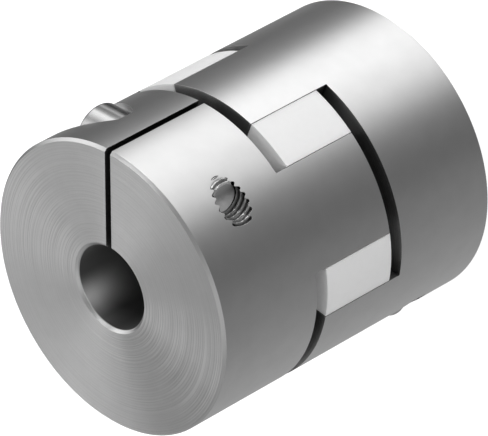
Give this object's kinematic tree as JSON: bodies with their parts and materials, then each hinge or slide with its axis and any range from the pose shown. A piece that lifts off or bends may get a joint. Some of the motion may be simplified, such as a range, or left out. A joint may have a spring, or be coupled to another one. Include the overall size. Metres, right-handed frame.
{
  "type": "jaw shaft coupling",
  "caption": "Cylindrical shaft coupling: slotted clamping hubs with interlocking jaws round a white elastomer spider, and cross screws that clamp the shafts.",
  "frame": {"origin": "centre of the lower hub's end face, on the shaft axis", "axes": "+Z along the shaft axis from the lower hub to the upper hub, +X along both clamp screws from head to tip, +Y through the slot of the upper hub"},
  "size_m": [0.042, 0.042, 0.05],
  "materials": {
    "upper_hub": "fine turned",
    "lower_hub": "fine turned",
    "spider": "satin white elastomer",
    "upper_clamp_screw": "bright",
    "lower_clamp_screw": "bright"
  },
  "bodies": {
    "root": {"upper_hub": "upper_hub", "lower_hub": "lower_hub", "spider": "spider", "upper_clamp_screw": "upper_clamp_screw", "lower_clamp_screw": "lower_clamp_screw"}
  },
  "joints": []
}
